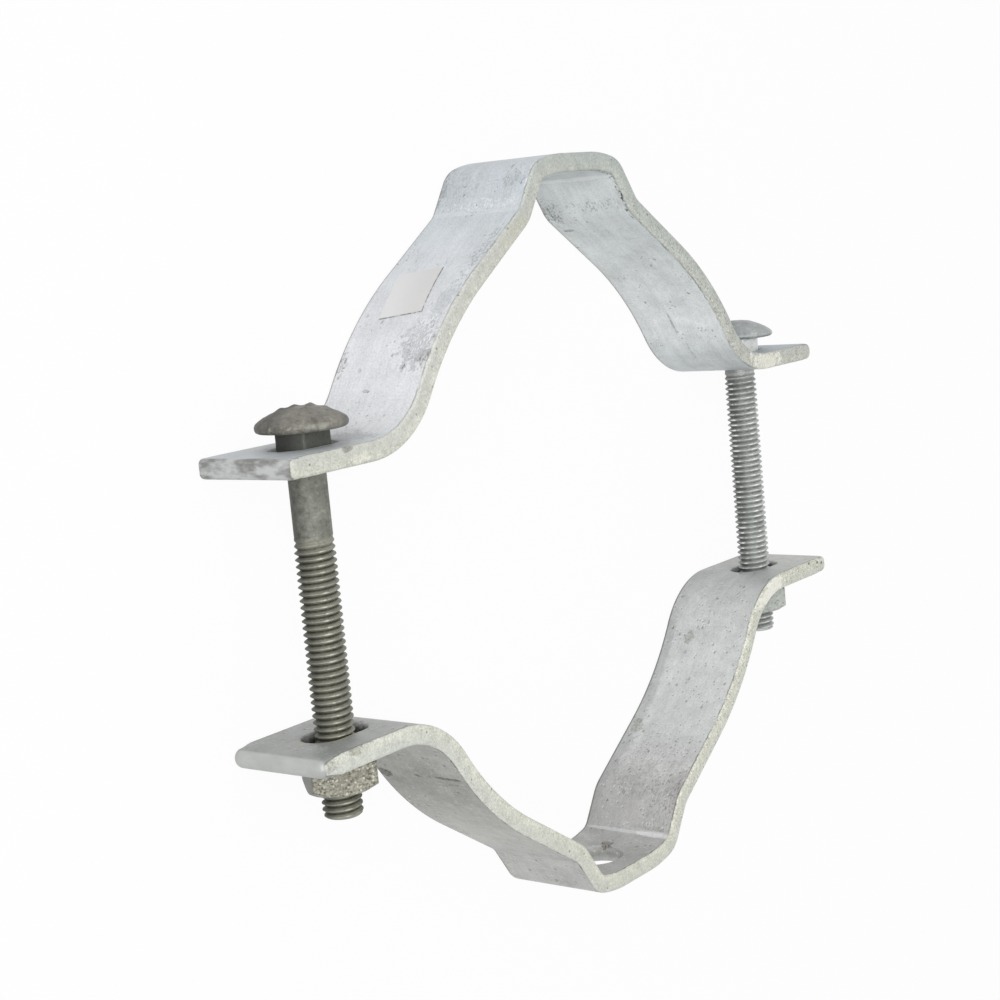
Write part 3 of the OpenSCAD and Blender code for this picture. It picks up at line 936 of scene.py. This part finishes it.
lower_marks = [
    ((-11, -2.3, -3.2), (2.6, 2.6, 2), 1.5, 0.4, (84, 74, 58), 0.9),
    # The next two are painted highlights along the inner corner of the crown.
    ((-23.5, 0, -3.2), (1.3, 22, 1.5), 0.5, 0.7, (222, 224, 225), 0.6),
    ((-23.5, 13, -3.2), (2.3, 9, 1.5), 0.5, 0.8, (234, 235, 235), 0.6),
    # Painted shade along the edge of the lower strap's inner face that lies on the floor.
    ((-75, -17.8, -3.2), (58, 4.5, 2), 0.5, 0.9, (142, 145, 146), 0.4),
    # Painted shade beside that corner.
    ((-27, 10, -3.2), (0.9, 10, 1.5), 1.2, 0.2, (120, 120, 118), 0.5),
    ((-44, 16.5, -3.2), (9, 2.2, 2), 1.2, 0.5, (150, 141, 141), 0.4),
    ((-42, 0, -3.2), (5, 26, 2), 1.4, 0.2, (150, 148, 146), 0.3),
    ((-113.5, -7, -3.2), (2.6, 2.4, 2), 1.2, 0.3, (122, 122, 106), 0.75),
    ((-70, -14.5, -3.2), (3.6, 2.6, 2), 1.4, 0.3, (130, 130, 114), 0.65),
    ((-36, 12, -3.2), (9, 7, 2), 2.0, 0.0, (124, 124, 122), 0.45),
    ((-52, 2, -3.2), (14, 15, 2), 2.2, 0.0, (136, 136, 134), 0.4),
    ((112.6, 11.5, 3.2), (0.7, 5.8, 2), 0.8, 0.6, (52, 52, 50), 0.95),
    ((109.5, 13, 3.2), (0.5, 4.5, 2), 1.2, 0.3, (90, 88, 84), 0.7),
    ((112.5, -2, 3.2), (0.9, 1.2, 2), 1.0, 0.6, (58, 56, 54), 0.9),
    ((112, -16, 3.2), (2.2, 3.0, 2), 1.0, 0.6, (56, 46, 44), 0.9),
    ((106, 6, 3.2), (2.6, 3.6, 2), 2.0, 0.0, (226, 226, 222), 0.6),
    ((108, 4, 3.2), (11, 13, 2), 1.8, 0.4, (120, 119, 115), 0.4),
    # Painted highlight on the edge.
    ((-141, 19, 0), (12, 2, 3.4), 1.4, 0.6, (255, 254, 244), 1.0),
    ((-180, 19, -1.6), (0.8, 1.5, 0.6), 0.8, 0.8, (70, 66, 58), 0.9),
    ((-183.5, 19, -0.8), (0.7, 1.5, 0.6), 0.8, 0.8, (70, 66, 58), 0.9),
    ((-173, 19, -2.4), (1.0, 1.5, 0.6), 0.8, 0.8, (84, 80, 72), 0.8),
    ((173, 19, -2.4), (3, 2, 1.6), 1.2, 0.5, (138, 134, 120), 0.7),
    ((184.5, 19, -1.4), (2.6, 2, 2.6), 1.6, 0.3, (134, 130, 120), 0.6),
    ((slot_s + 11.5, -1, -3.2), (2.4, 4, 2), 1.4, 0.5, (170, 165, 130), 0.6),
    ((slot_s + 4, 7.8, -3.2), (6, 0.9, 2), 1.0, 0.6, (190, 182, 140), 0.7),
    # Painted shade inside the two slots and the crown's hole.
    ((slot_s, 0, 0), (14.5, 8.4, 3.0), 0.4, 0.9, (48, 44, 36), 0.95),
    ((-slot_s, 0, 0), (14.5, 8.4, 3.0), 0.4, 0.9, (44, 43, 40), 0.95),
    ((0, 0, 0), (12.4, 12.4, 2.2), 0.3, 0.6, (128, 124, 114), 0.7)]
upper_zinc = finish_of("upper_strap_zinc", strap_zinc(
    upper_outer, upper_inner, upper_light, upper_marks, end_tone=paint(188, 190, 190), smudge=0.9,
    pitted=0.08, floor_shade=0.5, sandier=1.0, dragged=0.12, calm=0.5))
lower_zinc = finish_of("lower_strap_zinc", strap_zinc(
    lower_outer, lower_inner, lower_light, lower_marks, end_tone=paint(182, 184, 182), smudge=0.15,
    pitted=0.26, floor_shade=0.85, sandier=-1.0, dragged=0.45, calm=0.0))
put_on(pieces["upper_strap_skin"], "upper_half", "upper_strap", upper_zinc)
put_on(pieces["lower_strap_skin"], "lower_half", "lower_strap", lower_zinc)

# %% [markdown]
# ## Bolts
# The left bolt has weathered to a dull olive grey, with pale crust on the head's rim. The right one is
# newer and bright. The thread roots are painted darker as shade, bands of the crests carry painted
# highlights and one side of each bolt is painted in shade, so the bolt attribute carries how near a point
# is to a thread's crest, its distance from the head, and how far it is turned to the side painted in shade.

# %% Build the bolt finishes
def bolt_zinc(root, crest, head, neck, shank, shank_end, crust, crusty, highlight_bands, crest_highlight, side_shade, metallic,
              matt):
    """Node tree of a bolt: root to crest tone, own tones for head, neck and plain shank, clouds and grain.

    Shank_end is where the plain shank ends, in millimetres below the head. Crust lies on the head's rim,
    crusty strong. Highlight_bands lists bands (start, peak) of the shade value round the bolt where the
    crests get a painted highlight in the colour crest_highlight, and side_shade is how much darker the side
    painted in shade is.
    """
    def build(tree):
        mm = in_mm(tree)
        _, (shade, h, ridge) = marked(tree, "bolt")
        soft = cloud(tree, mm, 0.16, 4.0, 0.6)
        grain = cloud(tree, mm, 1.1, 3.0, 0.65)
        mottle = cloud(tree, mm, 0.38, 5.0, 0.68)
        # The darker roots of the thread are painted shade in its grooves.
        tone = blend(tree, rise(tree, ridge, 0.0, 0.5), root, crest)
        tone = blend(tree, rise(tree, h, 0.1, -0.3), tone, head)
        plain = rise(tree, h, shank_end, shank_end - 1.5)
        tone = tint(tree, tone, plain, rise(tree, h, 8.8, 9.6), shank)
        tone = tint(tree, tone, times(tree, plain, rise(tree, mottle, 0.50, 0.64)), 0.5, root)
        tone = tint(tree, tone, times(tree, plain, rise(tree, mottle, 0.45, 0.33)), 0.4, crust)
        tone = tint(tree, tone, rise(tree, h, 0.0, 0.4), rise(tree, h, 9.6, 8.6), neck)
        light = scaled(tree, grain, 0.8, scaled(tree, soft, 0.9, 0.15))
        # Painted shade: the side of the bolt at that turn is darkened.
        light = times(tree, light, scaled(tree, rise(tree, shade, -0.1, 1.0), -side_shade, 1.0))
        tone = dimmed(tree, tone, light)
        # Painted highlights: bands of the crests at given turns round the bolt are paled.
        for start, peak in highlight_bands:
            band = times(tree, rise(tree, shade, start, peak), rise(tree, shade, 2 * peak - start, peak))
            band = times(tree, band, rise(tree, ridge, 0.7, 0.95))
            tone = tint(tree, tone, band, rise(tree, cloud(tree, mm, 0.5, 2.0), 0.35, 0.6), crest_highlight)
        rim = times(tree, rise(tree, h, -3.2, -1.8), rise(tree, h, 0.6, -0.2))
        patch = times(tree, rise(tree, cloud(tree, mm, 0.2, 5.0, 0.7), 0.48, 0.62), rim)
        tone = tint(tree, tone, patch, crusty, crust)
        height = scaled(tree, soft, 0.6, grain)
        return coat(tree, tone, metallic, scaled(tree, grain, 0.25, matt), height, 0.4, 0.0004)
    return build


dull = finish_of("left_bolt_zinc", bolt_zinc(
    root=paint(74, 74, 65), crest=paint(144, 144, 132), head=paint(130, 127, 119),
    neck=paint(96, 98, 92), shank=paint(126, 127, 118), shank_end=33.5,
    crust=paint(172, 175, 160), crusty=0.5, highlight_bands=[(0.0, -0.35)],
    crest_highlight=paint(196, 196, 182), side_shade=0.6, metallic=0.4, matt=0.42))
bright = finish_of("right_bolt_zinc", bolt_zinc(
    root=paint(146, 149, 146), crest=paint(190, 193, 190), head=paint(164, 169, 169),
    # The right bolt's neck is painted near white, a painted highlight.
    neck=paint(252, 254, 250), shank=paint(180, 183, 180), shank_end=14.0,
    crust=paint(206, 210, 206), crusty=0.7, highlight_bands=[(0.0, -0.4), (0.3, 0.65)],
    crest_highlight=paint(252, 254, 250), side_shade=0.5, metallic=0.45, matt=0.3))
put_on(pieces["left_bolt_skin"], "upper_half", "left_bolt", dull)
put_on(pieces["right_bolt_skin"], "upper_half", "right_bolt", bright)

# %% [markdown]
# ## Nuts
# The left nut has a coarse zinc coat in cream, olive and brown, with painted glints, and one facet painted
# darker as shade.
# The right one is smoother and grey-green. The pattern sits in the nut's own metal, so Object coordinates
# are enough; the nut attribute tells the facets apart.

# %% Build the nut finishes
shaded_facet = 3.0


def nut_zinc(pale, mid, deep, glint, shaded, spotty, dark, matt):
    """Node tree of a nut: three tones by two scales of noise, painted glints, one facet painted in shade, and
    bump.

    Spotty is half the width of the step between the pale and the middle tone, and dark the strength of the
    painted shade on one facet.
    """
    def build(tree):
        mm = in_mm(tree)
        _, (facet, _, _) = marked(tree, "nut")
        grain = cloud(tree, mm, 1.0, 4.0, 0.7)
        soft = cloud(tree, mm, 0.25, 3.0, 0.6)
        tone = blend(tree, rise(tree, grain, 0.52 - spotty, 0.52 + spotty), mid, pale)
        deeper = scaled(tree, soft, 0.35, times(tree, grain, 0.65))
        tone = blend(tree, rise(tree, deeper, 0.49, 0.39), tone, deep)
        # Painted glints: pale specks over the coat.
        tone = tint(tree, tone, specks(tree, mm, 0.9, 0.45, 0.28), 0.6, glint)
        # Painted shade: one facet of the nut is darkened toward the shaded colour.
        turned = rise(tree, calc(tree, "ABSOLUTE", calc(tree, "SUBTRACT", facet, shaded_facet)), 0.52, 0.46)
        tone = tint(tree, tone, turned, dark, shaded)
        return coat(tree, tone, 0.35, scaled(tree, soft, 0.2, matt), grain, 0.5, 0.0005)
    return build


spotted = finish_of("left_nut_zinc", nut_zinc(
    pale=paint(170, 169, 155), mid=paint(130, 128, 114), deep=paint(94, 90, 76),
    glint=paint(226, 226, 216), shaded=paint(82, 82, 78), spotty=0.12, dark=0.9, matt=0.3))
smooth = finish_of("right_nut_zinc", nut_zinc(
    pale=paint(190, 194, 188), mid=paint(172, 176, 170), deep=paint(146, 150, 144),
    glint=paint(206, 210, 204), shaded=paint(150, 154, 148), spotty=0.2, dark=0.0, matt=0.35))
put_on(pieces["left_nut_skin"], "left_nut_body", "left_nut", spotted)
put_on(pieces["right_nut_skin"], "right_nut_body", "right_nut", smooth)

# %% [markdown]
# ## Paper
# The sticker's paper is a warm white with faint fibres, and it is matt. A painted shadow runs along its
# lower and front edges. The paper attribute holds the place on the flat sticker, so fibres and the painted
# shadow keep to its own edges.

# %% Build the paper finish
def paper(tree):
    """Node tree of the sticker: warm white, stretched noise for fibres, and a painted shadow line along two
    edges.
    """
    plan, (u, v, _) = marked(tree, "paper")
    fibre = cloud(tree, stretched(tree, plan, (0.5, 2.0, 1.0)), 1.0, 4.0, 0.6)
    tone = blend(tree, fibre, paint(200, 199, 199), paint(216, 215, 214))
    tone = tint(tree, tone, rise(tree, v, 6.0, -8.0), 0.5, paint(226, 226, 227))
    low = rise(tree, u, 0.45 - paper_l / 2, 0.15 - paper_l / 2)
    front = rise(tree, v, paper_w / 2 - 0.4, paper_w / 2 - 0.1)
    # Painted shadow: a dark line along the lower and front edges, broken by noise.
    darkening = times(tree, calc(tree, "MAXIMUM", low, front), rise(tree, cloud(tree, plan, 0.5), 0.3, 0.55))
    tone = tint(tree, tone, darkening, 0.85, paint(104, 104, 104))
    return coat(tree, tone, 0.0, 0.75, fibre, 0.2, 0.0001)


put_on(pieces["sticker"], "upper_half", None, finish_of("sticker_paper", paper))

# %% [markdown]
# ## Floor, world and light
# The clamp is shown on plain white. The floor glows white for the camera and for reflections, and is an
# ordinary pale floor for every other ray, so it still bounces light. A small share of it stays diffuse for
# the camera too, which keeps a faint shadow.

# %% Make the floor and the world
white = (1.0, 1.0, 1.0, 1.0)
floor_half, floor_z = 6, -0.0003


def seen_rays(tree):
    """1 for camera, glossy and transmission rays, 0 for the rest."""
    path = tree.nodes.new("ShaderNodeLightPath")
    seen = calc(tree, "MAXIMUM", path.outputs["Is Camera Ray"], path.outputs["Is Glossy Ray"])
    return calc(tree, "MAXIMUM", seen, path.outputs["Is Transmission Ray"])


def floor_white(tree):
    """Diffuse white for light, mostly white glow for what is seen."""
    matt = add(tree, "BsdfDiffuse", {"Color": (0.85, 0.85, 0.85, 1.0)})
    glow = add(tree, "Emission", {"Color": white, "Strength": 1.0})
    return add(tree, "MixShader", {0: times(tree, seen_rays(tree), 0.95), 1: matt, 2: glow})


floor_mesh = bpy.data.meshes.new("floor")
floor_corners = [(x * floor_half, y * floor_half, floor_z) for x, y in ((-1, -1), (1, -1), (1, 1), (-1, 1))]
floor_mesh.from_pydata(floor_corners, [], [(0, 1, 2, 3)])
floor = bpy.data.objects.new("floor", floor_mesh)
floor.data.materials.append(finish_of("floor_white", floor_white))
scene.collection.objects.link(floor)

world = bpy.data.worlds.new("studio")
world.use_nodes = True
sky = world.node_tree
sky.nodes.clear()
strength = scaled(sky, seen_rays(sky), 0.38, 0.62)
add(sky, "OutputWorld", {"Surface": add(sky, "Background", {"Color": white, "Strength": strength})})
scene.world = world
scene.view_settings.view_transform = "Standard"
print("floor and world are white")

# %% [markdown]
# ## The lamp
# A broad lamp stands on the side of the crown at the picture's top, to the left, so that faces turned that
# way are palest and the lower strap falls into soft shade. It is aimed as the camera is: its own -Z looks
# along the line to the clamp.

# %% Place the lamp
key = bpy.data.lights.new("key", "AREA")
key.size, key.energy = 0.9, 7.6
lamp_place = np.array([-0.9, 0.3, 0.72])
back = unit(lamp_place - [0, 0, 0.02])
level = unit(np.cross([0, 0, 1.0], back))
stand(bpy.data.objects.new("key", key), lamp_place, [level, np.cross(back, level), back])
